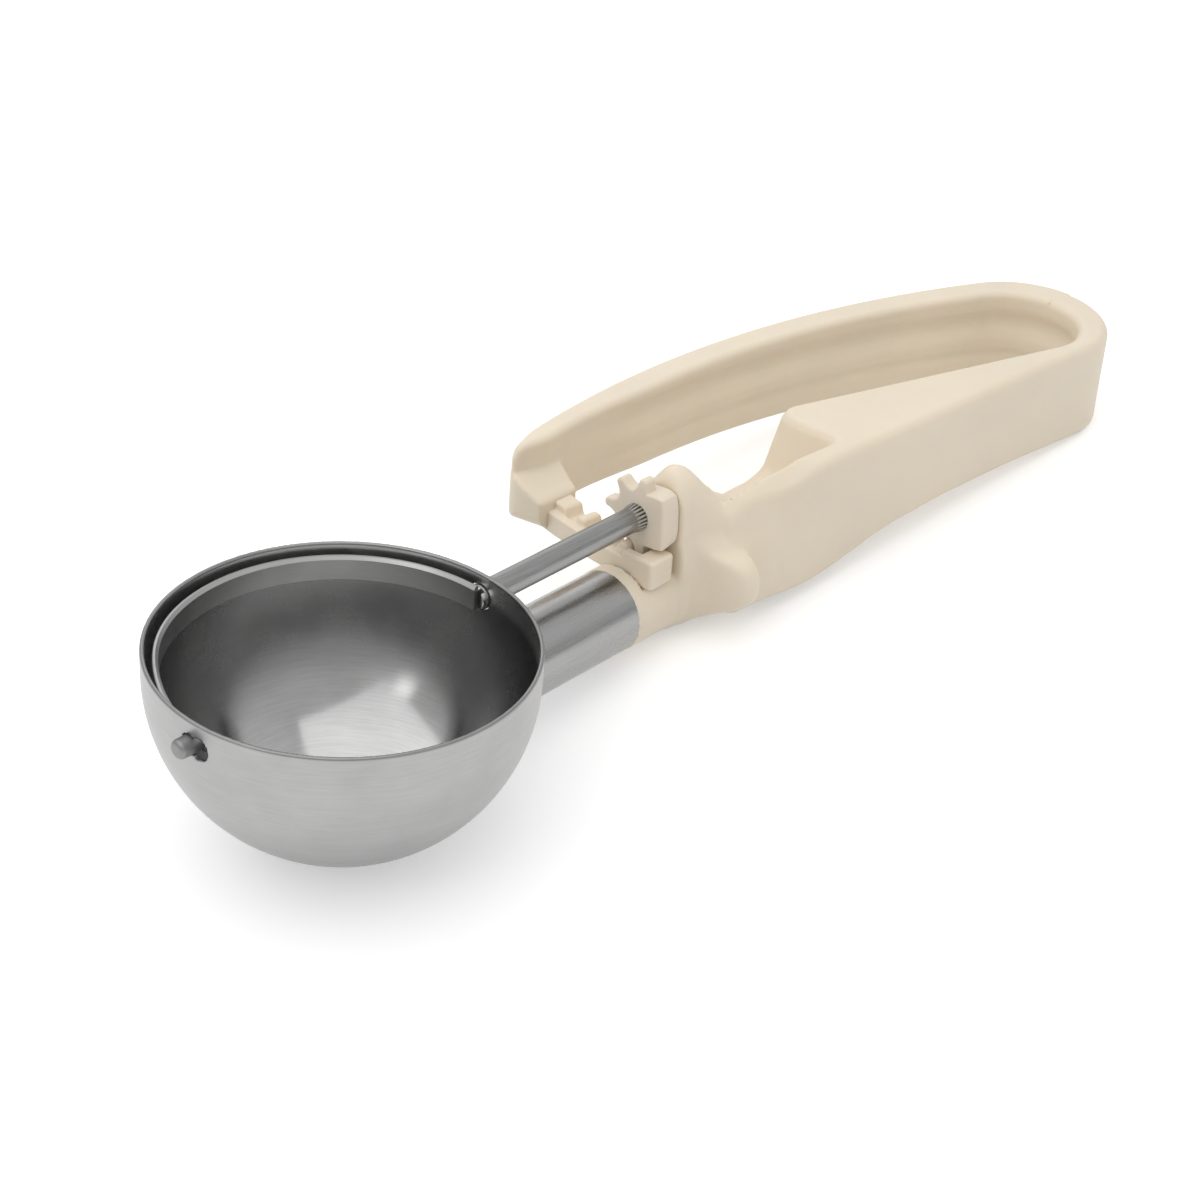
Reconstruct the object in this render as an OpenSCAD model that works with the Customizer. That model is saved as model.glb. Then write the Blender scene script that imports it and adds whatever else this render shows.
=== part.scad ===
// Lever ice cream scoop: a round steel bowl on a steel neck tube, with a scraper
// blade that a rack on a springy one-piece plastic handle sweeps through the bowl.
// Working coordinates: rim centre at the origin, +X towards the handle, +Z out of the bowl.
// place() then moves the whole scoop so that its box stands centred on the origin.

/* [Bowl] */
// Outside diameter of the bowl
bowl_d = 66; // [58:1:72]
// Wall of the pressed bowl
bowl_wall = 0.8; // [0.6:0.1:1.5]
// Height of the straight band from the pivot line up to the rim
rim_band = 4.6; // [3.8:0.1:7]

/* [Neck tube] */
// Outside diameter of the neck tube
neck_d = 15.9; // [12:0.1:18]
// Wall of the neck tube
neck_wall = 1.2; // [0.8:0.1:2]
// Drop from the pivot line to the axis of the neck tube
neck_drop = 17.5; // [16.5:0.1:19]
// Length of tube held inside the handle
neck_grip = 22; // [12:1:23]

/* [Scraper] */
// Diameter of the turning shaft
shaft_d = 4.76; // [3.5:0.02:6]
// Diameter of the headed shaft end inside the bowl
head_d = 5.4; // [4.8:0.1:8]
// Length of shaft head past the inner face of the blade
head_in = 0.9; // [0.6:0.1:1.5]
// Thickness of the scraper blade
blade_t = 1; // [0.6:0.1:1.4]
// Height of the scraper blade above the pivot line
blade_up = 3; // [2:0.1:3.5]
// Height of the scraper blade below the pivot line
blade_down = 1.7; // [1.2:0.1:6]
// Gap from the blade to the wall of the bowl
blade_gap = 1.1; // [0.4:0.1:2]
// Diameter of the front pivot pin
pin_d = 3.4; // [2.5:0.1:4.5]
// Length of front pivot pin that stands out of the bowl
pin_out = 2.6; // [1:0.1:4]

/* [Pinion and rack] */
// Distance from tooth to tooth along the rack
tooth_pitch = 5.6; // [5:0.1:6]
// Height of the pinion teeth above the pitch circle
tooth_rise = 1.7; // [1.3:0.1:2]
// Width of the pinion along the shaft
pinion_w = 4; // [3:0.1:5]
// Reach of the flat side of the pinion's stop block
stop_side = 6; // [5:0.1:6.2]
// Width of the rack along the shaft
rack_w = 6.4; // [5:0.1:7]
// Height of the rack from its underside to its lands
rack_h = 5.8; // [5:0.1:6.2]

/* [Handle] */
// Distance from the rim centre to the closed end of the handle
handle_end = 212; // [195:1:230]
// Distance from the rim centre to the front of the moulded collar
collar_front = 66.7; // [60:0.1:72]
// Wall of the moulded collar ahead of the rack channel
collar_wall = 3.2; // [2:0.1:4]
// Radius of the closed end, outside
end_r = 18.4; // [16:0.1:22]
// Thickness of the closed end
end_t = 8; // [6:0.1:9]
// Radius of the hollow at the closed end
hole_r = 12.9; // [10:0.1:15]
// Radius of the bow of the lever, outside
bow_r = 208.8; // [190:1:240]
// Furthest reach of the lever from the pivot line
bow_y = 33.8; // [33:0.1:40]
// Thickness of the lever
lever_t = 7; // [5:0.1:8]
// Height of the handle at its closed end
end_h = 20.9; // [18:0.1:22]
// Depth of the grooves along the inside of the lever
groove_t = 1.4; // [0.5:0.1:2]
// Reach of the grip away from the lever, at the guard
grip_y = 15.2; // [13:0.1:18]
// Reach of the thumb wing towards the lever
wing_y = 3.7; // [0:0.1:6]
// Reach of the finger guard away from the lever
guard_y = 18.4; // [16:0.1:22]
// Radius of the bearing boss behind the pinion
boss_r = 8.8; // [7:0.1:9.5]

/* [Fits] */
// Radial clearance of the turning shaft in its bearings
run_fit = 0.06; // [0.02:0.01:0.1]
// Clearance around parts that slide or swing past each other
slide_gap = 0.3; // [0.2:0.05:0.4]

/* [Hidden] */
$fn = 96;

// Bowl and scraper
bowl_r = bowl_d / 2;
bowl_in = bowl_r - bowl_wall;
axis_z = -rim_band;
shaft_r = shaft_d / 2;
blade_out = bowl_in - blade_gap;
blade_in = blade_out - blade_t;
pin_r = pin_d / 2;
rivet_r = pin_r * 0.65;
rivet_head = 0.6;
keyhole_r = pin_r + 0.2;
keyhole_step = 2.2;

// Neck
neck_r = neck_d / 2;
neck_z = axis_z - neck_drop;
collar_r = neck_r + 0.1;
floor_t = 1;

// Pinion
teeth_per_turn = 7;
tooth_angle = 360 / teeth_per_turn;
pitch_r = tooth_pitch * teeth_per_turn / (2 * PI);
tip_r = pitch_r + tooth_rise;
root_r = pitch_r - 0.85;
step_y = 4 * tooth_pitch - 1.4;
// Angle by which the first tooth is past the straight-down line at rest
mesh_lead = 10;
channel_x = collar_front + collar_wall;
guard_x = channel_x + slide_gap + rack_w + 1.7;
pinion_x = guard_x - 0.2 - pinion_w;
rack_mid = channel_x + slide_gap + rack_w / 2;
bearing_l = 6;

// Closed end, bow and hinge line of the lever, in plan
bow_c = [collar_front + 44.3, bow_y - bow_r];
bow_in = bow_r - lever_t;
end_x = handle_end - end_r;
end_c = [end_x, bow_c[1] + sqrt(pow(bow_r - end_r, 2) - pow(end_x - bow_c[0], 2))];
hole_x = handle_end - end_t - hole_r;
hole_c = [hole_x, bow_c[1] + sqrt(pow(bow_in - hole_r, 2) - pow(hole_x - bow_c[0], 2))];
hinge_x = end_x + 6.6;
hinge_y = end_c[1];

// Rack, an arc about the hinge line
hinge_reach = hinge_x - rack_mid;
rack_out = hinge_reach + rack_w / 2;
rack_in = hinge_reach - rack_w / 2;
mesh_arm = (rack_in + hinge_x - pinion_x) / 2;
rack_top = axis_z - root_r - 0.5;
rack_floor = rack_top - rack_h;
notch_floor = axis_z - tip_r - 0.25;
flat_z = rack_floor - slide_gap - floor_t;
rack_nose = 7.1;
step_h = 1.1;
ledge_w = 1.9;
lever_front = channel_x - 1.5;
lever_lip = step_y + 1;
end_wall = 4.1;

// Grip
grip_front = collar_front + 29.3;
ridge_t = 4.6;
notch_y = ridge_t - grip_y;
heel = [grip_front + 9, -grip_y - 0.1];
wing = [grip_front + 29, wing_y];
housing_r = collar_r + 1.4;
tilt = atan((end_h + rack_floor) / (handle_end - channel_x));
low_x = -bowl_r - pin_out;

// Points along an arc in plan
function arc(c, r, a, b, steps) = [for (i = [0 : steps]) let(t = a + (b - a) * i / steps)
                                   c + r * [cos(t), sin(t)]];
function toward(p, c) = atan2(p[1] - c[1], p[0] - c[0]);
// Angle at which a line from a point touches a disc, on the side away from the lever
function touch(p, c, r) = toward(p, c) + acos(r / norm(p - c));
// Height of the sloping underside at a distance from the rim centre
function under(x) = rack_floor - (x - channel_x) * tan(tilt);

outer_a = touch(heel, end_c, end_r);
inner_a = touch(wing, hole_c, hole_r) - 360;
cut = hole_c + hole_r * [cos(inner_a), sin(inner_a)];
outer_p = end_c + end_r * [cos(outer_a), sin(outer_a)];
cut_out = heel + (outer_p - heel) * (cut[0] - heel[0]) / (outer_p[0] - heel[0]);

module place() {
  translate([-(low_x + handle_end) / 2, -(bow_y - bowl_r) / 2, bowl_r - axis_z]) children();
}

// A cylinder along +X that starts at the given point
module rod(x, z, r, l, y = 0) {
  translate([x, y, z]) rotate([0, 90, 0]) cylinder(r = r, h = l);
}

// A Y-Z outline drawn about the pivot line and pushed along +X
module across(x, l) {
  translate([x, 0, axis_z]) rotate([90, 0, 90]) linear_extrude(l) children();
}

module ball(r) {
  translate([0, 0, axis_z]) sphere(r = r);
}

// Straight-walled cup with a round bottom, open at the rim
module cup(r, top) {
  difference() {
    ball(r);
    translate([-r - 1, -r - 1, axis_z]) cube([2 * r + 2, 2 * r + 2, r + 2]);
  }
  translate([0, 0, axis_z]) cylinder(r = r, h = top - axis_z);
}

module bowl() {
  color("silver") place() difference() {
    cup(bowl_r, 0);
    cup(bowl_in, 1);
    rod(0, axis_z, shaft_r + run_fit, bowl_r + 1);
    rod(-bowl_r - 1, axis_z, pin_r + run_fit, bowl_r);
    rod(-bowl_r - 1, axis_z, keyhole_r, bowl_r, -keyhole_step);
  }
}

// The held end of the neck tube, with its top milled flat so that it passes under the rack
module tube_end(length) {
  difference() {
    rod(0, neck_z, neck_r, length);
    translate([channel_x, -neck_d, flat_z]) cube([length, 2 * neck_d, neck_d]);
  }
}

module neck_tube() {
  color("gainsboro") place() difference() {
    tube_end(collar_front + neck_grip);
    rod(-1, neck_z, neck_r - neck_wall, handle_end);
    ball(bowl_r + 0.02);
  }
}

module scraper_blade() {
  color("lightgray") place() difference() {
    ball(blade_out);
    ball(blade_in);
    translate([-bowl_r, -bowl_d, -bowl_d]) cube([bowl_d, bowl_d - pin_r, 2 * bowl_d]);
    translate([-bowl_r, -bowl_d, axis_z + blade_up]) cube([bowl_d, 2 * bowl_d, bowl_d]);
    translate([-bowl_r, -bowl_d, axis_z - blade_down - bowl_d]) cube([bowl_d, 2 * bowl_d, bowl_d]);
    rod(-bowl_r, axis_z, rivet_r, bowl_r);
  }
}

module blade_pivot_pin() {
  color("darkgray") place() difference() {
    union() {
      rod(-bowl_r - pin_out, axis_z, pin_r, pin_out + bowl_wall + blade_gap + 0.2);
      rod(-bowl_r, axis_z, rivet_r, bowl_r - blade_in + rivet_head);
      rod(-blade_in, axis_z, pin_r, rivet_head);
    }
    difference() {
      ball(blade_out);
      ball(blade_in);
      rod(-bowl_r, axis_z, rivet_r, bowl_r);
    }
  }
}

module scraper_shaft() {
  head_x = blade_in - head_in;
  color("darkgray") place() difference() {
    union() {
      rod(head_x, axis_z, head_d / 2, blade_out - head_x);
      rod(head_x, axis_z, shaft_r, guard_x + bearing_l - head_x);
    }
    intersection() {
      difference() {
        ball(blade_out);
        ball(blade_in);
      }
      translate([0, -pin_r, axis_z - head_d]) cube([bowl_r, head_d + pin_r, 2 * head_d]);
    }
  }
}

// One pinion tooth, pointing along +Y of the outline
module tooth_outline() {
  polygon([[0, -1.9], [root_r, -1.55], [pitch_r, -1.15], [tip_r - 0.35, -0.85], [tip_r, -0.4],
           [tip_r, 0.4], [tip_r - 0.35, 0.85], [pitch_r, 1.15], [root_r, 1.55], [0, 1.9]]);
}

module pinion() {
  color("ivory") place() difference() {
    union() {
      rod(pinion_x, axis_z, root_r, pinion_w);
      for (k = [0 : 4])
        across(pinion_x, pinion_w) rotate(k * tooth_angle - 90 - mesh_lead) tooth_outline();
      intersection() {
        across(pinion_x, pinion_w) translate([-stop_side, root_r - 2 * stop_side + 0.9])
          square([stop_side, 2 * stop_side]);
        rod(pinion_x, axis_z, tip_r, pinion_w);
      }
    }
    rod(0, axis_z, shaft_r, handle_end);
  }
}

// Removes all that lies under the sloping underside of lever and closed end
module under_cut() {
  translate([channel_x, -2 * bow_y, rack_floor]) rotate([0, tilt, 0])
    translate([-handle_end, 0, -end_h]) cube([2 * handle_end, 4 * bow_y, end_h]);
}

// Plan outline of the lever, from the closed end to the wall across its free end
module lever_outline() {
  split_y = hinge_y + slide_gap / 2;
  join_a = toward(end_c, bow_c);
  hole_join_a = toward(hole_c, bow_c);
  wall_x = lever_front + end_wall;
  polygon(concat(
    [[wall_x, lever_lip], [lever_front, lever_lip]],
    arc(bow_c, bow_r, acos((lever_front - bow_c[0]) / bow_r), join_a, 36),
    arc(end_c, end_r, join_a - 4, asin((split_y - end_c[1]) / end_r), 16),
    arc(hole_c, hole_r, asin((split_y - hole_c[1]) / hole_r), hole_join_a - 4, 14),
    arc(bow_c, bow_in, hole_join_a, acos((wall_x - bow_c[0]) / bow_in), 36)));
}

// Two long grooves in the inside face leave a rib between two lips
module squeeze_lever() {
  color("ivory") place() difference() {
    translate([0, 0, -end_h]) linear_extrude(end_h) lever_outline();
    under_cut();
    for (low = [-6.6, -13.4])
      translate([0, 0, low]) linear_extrude(4)
        polygon(concat(arc(bow_c, bow_in + groove_t, 68.5, 101, 32),
                       arc(bow_c, bow_in - 2, 101, 68.5, 32)));
  }
}

// A sector of a ring about the hinge line, between two plan Y values
module rack_ring(r_low, r_high, y_low, y_high, z_low, z_high) {
  translate([hinge_x, hinge_y, z_low]) intersection() {
    difference() {
      cylinder(r = r_high, h = z_high - z_low, $fn = 360);
      translate([0, 0, -1]) cylinder(r = r_low, h = z_high - z_low + 2, $fn = 360);
    }
    translate([-2 * hinge_reach, y_low - hinge_y, 0])
      cube([2 * hinge_reach, y_high - y_low, z_high - z_low]);
  }
}

// Room for one pinion tooth, at the point of mesh
module notch() {
  depth = rack_top - notch_floor;
  translate([0, 0, notch_floor]) rotate([90, 0, 90]) linear_extrude(hinge_x)
    polygon([[-1.15, 0], [1.15, 0], [1.75, depth * 0.8], [2.1, depth + 1], [-2.1, depth + 1],
             [-1.75, depth * 0.8]]);
}

module lever_rack() {
  bar_end = bow_y - lever_t;
  color("ivory") place() difference() {
    union() {
      rack_ring(rack_in, rack_out, -rack_nose, bar_end, rack_floor, rack_top);
      rack_ring(rack_in, rack_out, step_y, bar_end, rack_floor, rack_top + step_h);
    }
    for (k = [0 : 3])
      translate([hinge_x, hinge_y, 0])
        rotate((mesh_lead / tooth_angle - k) * tooth_pitch / mesh_arm * 180 / PI)
          translate([-hinge_x, -hinge_y, 0]) notch();
    rack_ring(rack_out - ledge_w, rack_out + 1, 0, step_y, notch_floor, rack_top + 1);
    translate([0, 0, -end_h]) linear_extrude(end_h) lever_outline();
  }
}

// Plan outline of the grip behind the guard
module grip_outline() {
  polygon([[grip_front, -grip_y], heel, cut_out, cut, wing, wing + [-3, -4],
           [wing[0] - 6, notch_y + 1.6], [wing[0] - 8, notch_y], [grip_front, notch_y]]);
}

// Side outline of the grip
module grip_side() {
  translate([0, 2 * bow_y, 0]) rotate([90, 0, 0]) linear_extrude(4 * bow_y)
    polygon([[grip_front, -1], [grip_front + 10, 0], [cut[0], 0], [cut[0], under(cut[0])],
             [grip_front + 32, -end_h + 0.3], [grip_front + 16, neck_z - 2.3],
             [grip_front + 8, neck_z - 3.5], [grip_front, neck_z - 6]]);
}

module grip() {
  deep = 2 * neck_drop;
  color("ivory") place() intersection() {
    union() {
      translate([0, 0, -deep]) linear_extrude(deep) grip_outline();
      rod(grip_front, neck_z, housing_r, 20);
      // web from the side ridge across to the housing of the tube
      translate([grip_front, 1 - grip_y, -deep]) cube([22, grip_y - 1, deep + neck_z + 7]);
    }
    grip_side();
  }
}

module closed_end() {
  split_y = hinge_y - slide_gap / 2;
  color("ivory") place() difference() {
    translate([0, 0, -end_h]) linear_extrude(end_h) polygon(concat(
      [cut_out], arc(end_c, end_r, outer_a, asin((split_y - end_c[1]) / end_r), 18),
      arc(hole_c, hole_r, asin((split_y - hole_c[1]) / hole_r), inner_a, 18)));
    under_cut();
  }
}

module collar_guard() {
  flange_x = guard_x + 8.7;
  back_x = grip_front - 1;
  color("ivory") place() difference() {
    union() {
      rod(collar_front, neck_z, collar_r, grip_front - collar_front);
      rod(guard_x, axis_z, boss_r, 5);
      translate([guard_x, -collar_r, neck_z]) cube([5, 2 * collar_r, neck_drop]);
      // finger guard that flares out towards the fingers
      hull() {
        rod(guard_x, neck_z, collar_r, 2);
        translate([flange_x, 3 - guard_y, neck_z + 4]) sphere(r = 3, $fn = 32);
        translate([flange_x + 1, 4 - guard_y, neck_z - 2]) sphere(r = 4, $fn = 32);
        translate([back_x, -grip_y, neck_z - 2]) cube([1, grip_y + housing_r, 14]);
      }
      // saddle from the bearing boss down to the top of the grip
      hull() {
        rod(guard_x + 4, axis_z, boss_r - 0.4, 1);
        translate([guard_x + 4, -collar_r, neck_z]) cube([1, 2 * collar_r, 4]);
        translate([back_x, -grip_y, neck_z]) cube([1, ridge_t, -1.4 - neck_z]);
        translate([back_x, -grip_y, neck_z]) cube([1, grip_y + 7, 9]);
      }
    }
    tube_end(collar_front + neck_grip);
    rod(0, axis_z, shaft_r + run_fit, guard_x + bearing_l + slide_gap);
    translate([channel_x, -2 * bow_y, rack_floor - slide_gap])
      cube([guard_x - channel_x, 4 * bow_y, bow_y]);
  }
}

bowl();
neck_tube();
scraper_blade();
blade_pivot_pin();
scraper_shaft();
pinion();
collar_guard();
grip();
closed_end();
squeeze_lever();
lever_rack();
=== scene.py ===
"""Looks of a lever ice cream scoop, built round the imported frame.

Shapes are worked out in millimetres in the rim frame of the part's source: rim centre at the
origin, +X towards the handle, +Z out of the bowl. RIM is that origin in the row frame.
"""

import math

import bpy
import numpy as np
from mathutils import Matrix, Vector


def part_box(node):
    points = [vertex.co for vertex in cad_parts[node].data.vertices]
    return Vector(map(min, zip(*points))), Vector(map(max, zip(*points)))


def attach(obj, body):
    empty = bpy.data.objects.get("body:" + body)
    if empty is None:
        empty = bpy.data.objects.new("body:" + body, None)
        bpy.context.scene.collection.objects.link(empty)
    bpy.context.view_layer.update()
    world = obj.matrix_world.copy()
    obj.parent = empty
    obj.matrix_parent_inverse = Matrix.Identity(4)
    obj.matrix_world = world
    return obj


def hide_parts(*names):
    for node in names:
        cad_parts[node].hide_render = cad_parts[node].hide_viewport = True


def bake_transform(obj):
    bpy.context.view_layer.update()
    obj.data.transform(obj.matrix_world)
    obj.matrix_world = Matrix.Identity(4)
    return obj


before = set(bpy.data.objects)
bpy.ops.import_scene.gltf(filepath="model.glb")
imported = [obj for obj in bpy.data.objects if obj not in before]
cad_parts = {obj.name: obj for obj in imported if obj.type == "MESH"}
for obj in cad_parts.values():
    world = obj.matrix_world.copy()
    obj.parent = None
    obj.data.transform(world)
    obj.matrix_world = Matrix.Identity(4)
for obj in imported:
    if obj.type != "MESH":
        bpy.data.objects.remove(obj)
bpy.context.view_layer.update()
bowl_low, bowl_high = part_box("bowl")
RIM = np.array([(bowl_low[0] + bowl_high[0]) / 2, (bowl_low[1] + bowl_high[1]) / 2, bowl_high[2]])
MM = 0.001

# Bowl: radii, depth that its tones span, rim's edge, gaps round shaft and pin, and the second
# centre of the keyhole slot with its gap
BOWL_R = 33.0
BOWL_IN = 32.2
BOWL_DEPTH = 38.0
RIM_EDGE, HOLE_GAP = 0.36, 0.1
SLOT_Y, SLOT_GAP = -2.2, 0.25

# Scraper, on an axis along X at height AXIS_Z: shaft, its slotted head and its knurl
AXIS_Z = -4.6
SHAFT_R = 2.38
SHAFT_X0, SHAFT_X1 = 31.8, 84.0
HEAD_R, HEAD_X, HEAD_HALF = 2.25, 31.65, 0.75
SLIT_Y, SLIT_HALF, SLIT_END = -1.0, 0.38, 32.0
KNURLS, KNURL_X, KNURL_LENGTH = 22, 70.9, 3.1
KNURL_RISE, KNURL_DEPTH = 0.38, 0.13

# Blade: radii, heights over the axis, how far its ends pass the middle, start and sweep in
# degrees, and how far its top edge drops towards the pin, between two angles. Then the pin
BLADE_OUT, BLADE_IN = 31.1, 30.1
BLADE_TOP, BLADE_LOW, BLADE_BACK_Y = 3.0, -1.7, -1.5
BLADE_FROM, BLADE_SWEEP = 183.0, 184.2
TAPER, TAPER_FROM, TAPER_TO = 2.0, 135, 172
PIN_R, PIN_NECK_R = 1.7, 1.1
PIN_TIP_X, PIN_SLOT_X, PIN_HEAD_X, PIN_END_X = -35.6, -31.3, -30.0, -29.5

# Neck, collar and pinion
NECK_R = 7.95
NECK_Z = -22.1
NECK_WELD_R, NECK_END = 32.7, 69.4
COLLAR_X, COLLAR_R, COLLAR_END = 66.7, 8.05, 82
CHANNEL_X, CHANNEL_GAP = 69.9, 0.14
BORE_END, BORE_GAP = 84.8, 0.06
PINION_X, PINION_W, TOOTH_FRONT = 74.1, 4.0, 73.4
PITCH_R, TIP_R, ROOT_R = 6.239, 7.939, 5.389
TOOTH_ANGLE, MESH_LEAD = 360 / 7, 10.0

# Rack, an arc about the hinge
RACK_TOP, RACK_FLOOR, NOTCH_FLOOR = -10.489, -16.289, -12.789
RACK_IN, RACK_OUT, RACK_NOSE = 123.6, 130.0, 7.1
RACK_PITCH, RACK_END = 5.6, 27.5
STEP_Y, STEP_RISE, MESH_ARM = 21.0, 1.1, 124.85
LEDGE_W, LEDGE_TOP, LEDGE_Y = 1.9, -11.9, 0.2

# Handle in plan: hinge, arcs and lines of the loop, ends of its parts, and the lines where the
# moulding is shared out. Arcs run between two angles in degrees. A line has a point and a
# direction that it faces
HINGE = (200.2, -3.45)
BOW_C, BOW_R, BOW_IN = (111.0, -175.0), 208.8, 201.8
END_C, END_R = (193.6, -3.45), 18.4
HOLE_C, HOLE_R = (191.1, -3.9234), 12.9
END_ARC, HOLE_ARC = (-94.26, 64.29), (-107.76, 64.91)
HEEL, HEEL_FACING = (105.0, -15.3), (-0.0743, -0.9972)
WING, WING_FACING = (125.0, 3.7), (-0.305, -0.9523)
LEVER_FRONT, FRONT_SLANT, CHIN_R = 68.4, 0.22, 5.2
GRIP_FRONT, GUARD_X, GUARD_END = 87.0, 78.3, 97.0
HOUSING_R, HOUSING_X0, HOUSING_X1 = 9.45, 94.0, 122
TILT = math.tan(math.radians(1.85859))
CUT_X, CUT_Y = 187.166, 8.5
DIVIDER_X, DIVIDER_Y, DIVIDER_SLOPE = 120, 12, 0.18


# ---------------------------------------------------------------- fields

def rounded_max(a, b, r):
    """Intersection of two solids whose common edge has radius r."""
    u, v = np.maximum(a + r, 0), np.maximum(b + r, 0)
    return np.minimum(np.maximum(a, b) + r, 0) + np.hypot(u, v) - r


def rounded_min(a, b, r):
    """Union of two solids with a fillet of radius r between them."""
    return -rounded_max(-a, -b, r)


def smooth_min(a, b, r):
    """Union of two solids that run softly into each other over a width r."""
    h = np.maximum(r - np.abs(a - b), 0) / r
    return np.minimum(a, b) - h * h * r * 0.25


def smooth_step(value, low, high):
    """Rise from 0 at low to 1 at high, level at both ends."""
    t = np.clip((value - low) / (high - low), 0, 1)
    return t * t * (3 - 2 * t)


def soft_curve(value, keys, values, width):
    """Straight-line interpolation with its corners softened over a width."""
    total = 0
    for shift in (-1.0, -0.5, 0.0, 0.5, 1.0):
        total = total + np.interp(value + shift * width, keys, values)
    return total / 5


def polygon_distance(u, v, corners):
    """Signed distance to a closed outline, negative inside."""
    best, inside = np.full(np.shape(u), 1e9), np.zeros(np.shape(u), bool)
    for (au, av), (bu, bv) in zip(corners, corners[1:] + corners[:1]):
        eu, ev = bu - au, bv - av
        t = np.clip(((u - au) * eu + (v - av) * ev) / (eu * eu + ev * ev), 0, 1)
        best = np.minimum(best, np.hypot(u - au - t * eu, v - av - t * ev))
        if ev != 0:
            crosses = ((av > v) != (bv > v)) & (u < au + (v - av) * eu / ev)
            inside ^= crosses
    return np.where(inside, -best, best)


def surface_net(field, low, high, step):
    """Vertices and quads of the surface where the field is zero, on a grid of cubes."""
    axes = [np.arange(low[k], high[k] + step, step) for k in range(3)]
    shape = tuple(len(a) for a in axes)
    values = np.empty(shape)
    for i in range(0, shape[0], 16):
        grid = np.meshgrid(axes[0][i:i + 16], axes[1], axes[2], indexing="ij")
        values[i:i + 16] = field(*grid)
    inside = values < 0
    count = np.zeros(tuple(n - 1 for n in shape), np.int8)
    for a in (0, 1):
        for b in (0, 1):
            for c in (0, 1):
                count += inside[a:shape[0] - 1 + a, b:shape[1] - 1 + b, c:shape[2] - 1 + c]
    mixed = (count > 0) & (count < 8)
    index = np.full(count.shape, -1)
    index[mixed] = np.arange(mixed.sum())
    total, hits, quads = np.zeros((mixed.sum(), 3)), np.zeros(mixed.sum()), []
    for axis in range(3):
        first = [slice(None)] * 3
        second = [slice(None)] * 3
        first[axis], second[axis] = slice(0, -1), slice(1, None)
        va, vb = values[tuple(first)], values[tuple(second)]
        cross = (va < 0) != (vb < 0)
        cells = np.argwhere(cross)
        fa, fb = va[cross], vb[cross]
        place = cells.astype(float)
        place[:, axis] += fa / (fa - fb)
        u, v = [k for k in range(3) if k != axis]
        around, good = [], np.ones(len(cells), bool)
        for du, dv in ((-1, -1), (0, -1), (0, 0), (-1, 0)):
            cell = cells.copy()
            cell[:, u] += du
            cell[:, v] += dv
            ok = np.all((cell >= 0) & (cell < np.array(count.shape)), axis=1)
            found = np.full(len(cells), -1)
            found[ok] = index[tuple(cell[ok].T)]
            good &= found >= 0
            around.append(found)
            use = found >= 0
            for k in range(3):
                total[:, k] += np.bincount(found[use], place[use, k], len(total))
            hits += np.bincount(found[use], minlength=len(total))
        quad = np.column_stack(around)[good]
        flip = (fa < 0)[good]
        if axis == 1:
            flip = ~flip
        quad[~flip] = quad[~flip][:, ::-1]
        quads.append(quad)
    points = total / hits[:, None] * step + np.array([a[0] for a in axes])
    return points, np.concatenate(quads)


def slope(field, points, h):
    """Gradient of a field at points, by central differences."""
    out = np.empty_like(points)
    for k in range(3):
        a, b = points.copy(), points.copy()
        a[:, k] += h
        b[:, k] -= h
        out[:, k] = (field(*a.T) - field(*b.T)) / (2 * h)
    return out


def settled(field, points, step):
    """Moves points onto the surface, none by more than about a cell."""
    for _ in range(3):
        g = slope(field, points, 0.01)
        move = field(*points.T) / np.maximum((g * g).sum(1), 0.05)
        points = points - g * np.clip(move, -0.5 * step, 0.5 * step)[:, None]
    return points


def solid_mesh(field, low, high, step, soft=0.08):
    """Points, quads and normals of a field's surface within a box.

    step is the grid's cell, and soft is how far from a point its normal is measured.
    """
    points, quads = surface_net(field, low, high, step)
    points = settled(field, points, step)
    normals = slope(field, points, soft)
    normals /= np.maximum(np.linalg.norm(normals, axis=1), 1e-9)[:, None]
    return points, quads, normals


# ---------------------------------------------------------------- meshes

def add_object(name, points, faces, material, normals=None):
    """A mesh object from rim-frame points in mm."""
    mesh = bpy.data.meshes.new(name)
    if isinstance(faces, np.ndarray):
        faces = faces.tolist()
    mesh.from_pydata((points * MM + RIM).tolist(), [], faces)
    mesh.polygons.foreach_set("use_smooth", np.ones(len(mesh.polygons), bool))
    if normals is not None:
        mesh.normals_split_custom_set_from_vertices(normals.tolist())
    mesh.update()
    obj = bpy.data.objects.new(name, mesh)
    bpy.context.scene.collection.objects.link(obj)
    obj.data.materials.append(material)
    return obj


def part_of(points, quads, normals, keep):
    """The faces of a mesh that a mask keeps, with the vertices that they use."""
    quads = quads[keep]
    used, inverse = np.unique(quads, return_inverse=True)
    return points[used], inverse.reshape(quads.shape), normals[used]


def arc_profile(cx, cy, r, a, b, steps):
    """Points (x, y) along an arc, angles in degrees."""
    t = np.radians(np.linspace(a, b, steps + 1))
    return [(cx + r * math.cos(v), cy + r * math.sin(v)) for v in t]


def ring_faces(rings, around, first_cap=True):
    """Quads between rings of points in a row, a cap on the last ring and perhaps on the first."""
    faces = []
    for a in range(0, (rings - 1) * around, around):
        b = a + around
        for j in range(around):
            k = (j + 1) % around
            faces.append((a + j, a + k, b + k, b + j))
    if first_cap:
        faces.append(tuple(range(around))[::-1])
    faces.append(tuple((rings - 1) * around + j for j in range(around)))
    return faces


# A turned profile ends this near to its axis
NEAR_AXIS = 0.01


def lathe(profile, segments):
    """Closed body of revolution about the scraper's axis from (x, radius) points."""
    points = []
    turn = np.linspace(0, 2 * math.pi, segments, endpoint=False)
    for x, r in profile:
        points += [(x, r * math.cos(a), AXIS_Z + r * math.sin(a)) for a in turn]
    return np.array(points), ring_faces(len(profile), segments)


# ---------------------------------------------------------------- handle moulding

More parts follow.
